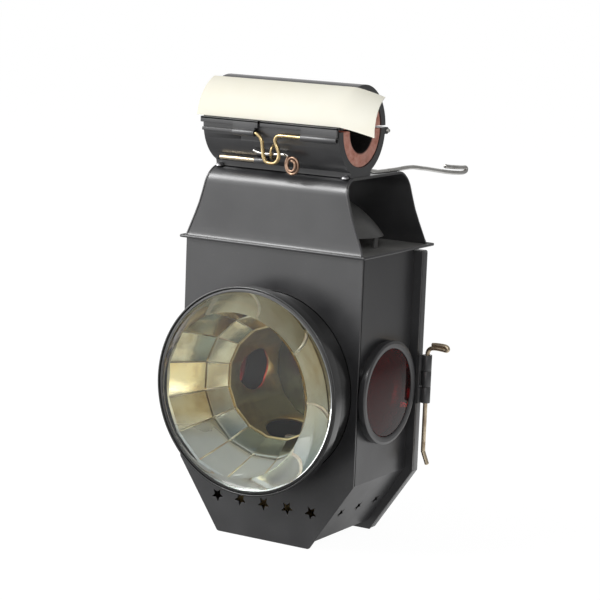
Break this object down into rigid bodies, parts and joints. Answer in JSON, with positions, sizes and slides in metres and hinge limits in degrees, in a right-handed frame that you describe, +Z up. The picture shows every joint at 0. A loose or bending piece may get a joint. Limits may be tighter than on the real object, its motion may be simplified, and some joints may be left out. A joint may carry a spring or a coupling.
{
  "type": "bicycle hub lamp",
  "caption": "Oil lamp in a black sheet metal case that hangs inside a high wheel on a hinged hub clamp, with a large front lens, small side lenses and a rear door.",
  "frame": {"origin": "middle of the hub clamp's bore, on its axis and halfway along it", "axes": "+X along the clamp's bore towards the side with the wire arm and the door pin, +Y towards the rear door, +Z up; the front lens looks along -Y"},
  "size_m": [0.1227, 0.1602, 0.2243],
  "materials": {
    "japan": "worn semi-gloss black japan over tinplate",
    "clear_glass": "polished, bevelled at the edge",
    "red_glass": "polished, deep red",
    "silvered": "silvered sheet, bent in flat facets",
    "brass": "dulled with age",
    "steel": "drawn wire, slightly tarnished",
    "leather": "thick, dry, reddish brown",
    "cotton": "flat woven wick",
    "paper": "matt cream paper, blank"
  },
  "bodies": {
    "lamp": {"front_plate": "japan", "right_side_panel": "japan", "left_side_panel": "japan", "bottom_plate": "japan", "rear_frame": "japan", "frame_hinge": "japan", "lens_drum": "japan", "lens_bezel": "japan", "right_lens_collar": "japan", "right_lens_bezel": "japan", "right_lens_ring": "japan", "left_lens_collar": "japan", "left_lens_bezel": "japan", "left_lens_ring": "japan", "roof_deck": "japan", "roof_cowl": "japan", "smoke_cap": "japan", "lower_clamp": "japan", "bolt_sleeve": "japan", "arm_lug": "japan", "front_lens": "clear_glass", "right_lens": "red_glass", "left_lens": "red_glass", "reflector": "silvered", "oil_font": "brass", "filler_cap": "brass", "burner": "brass", "staple_ring": "brass", "clamp_hinge_pin": "steel", "right_saddle_rivet": "steel", "left_saddle_rivet": "steel", "lower_liner": "leather", "wick": "cotton"},
    "door": {"door": "japan", "door_knuckle": "japan"},
    "door_pin": {"door_pin": "brass"},
    "clamp_top": {"upper_clamp": "japan", "upper_liner": "leather", "paper_label": "paper"},
    "bail": {"bail": "brass"},
    "locking_pin": {"locking_pin": "brass"},
    "slide_bolt": {"slide_bolt": "brass"},
    "wire_arm": {"wire_arm": "steel"},
    "wick_winder": {"wick_winder": "brass"}
  },
  "joints": [
    {"name": "clamp_hinge", "type": "hinge", "parent": "lamp", "child": "clamp_top", "pos_m": [0, 0.0236, -0.0014], "axis": [-1, 0, 0], "range_deg": [0, 95]},
    {"name": "bail_hinge", "type": "hinge", "parent": "clamp_top", "child": "bail", "pos_m": [0, -0.0233, -0.0036], "axis": [-1, 0, 0], "range_deg": [0, 130]},
    {"name": "locking_pin_slide", "type": "slide", "parent": "lamp", "child": "locking_pin", "axis": [1, 0, 0], "range_m": [0, 0.008]},
    {"name": "bolt_slide", "type": "slide", "parent": "lamp", "child": "slide_bolt", "axis": [-1, 0, 0], "range_m": [0, 0.004]},
    {"name": "door_hinge", "type": "hinge", "parent": "lamp", "child": "door", "pos_m": [0.0568, 0.0403, -0.123], "axis": [0, 0, -1], "range_deg": [0, 110]},
    {"name": "door_pin_slide", "type": "slide", "parent": "lamp", "child": "door_pin", "axis": [0, 0, 1], "range_m": [0, 0.022]},
    {"name": "arm_hinge", "type": "hinge", "parent": "lamp", "child": "wire_arm", "pos_m": [0.0366, 0.0122, -0.0204], "axis": [1, 0, 0], "range_deg": [0, 28]},
    {"name": "wick_winder_turn", "type": "hinge", "parent": "lamp", "child": "wick_winder", "pos_m": [0, 0.0257, -0.1663], "axis": [0, 1, 0], "continuous": true}
  ]
}
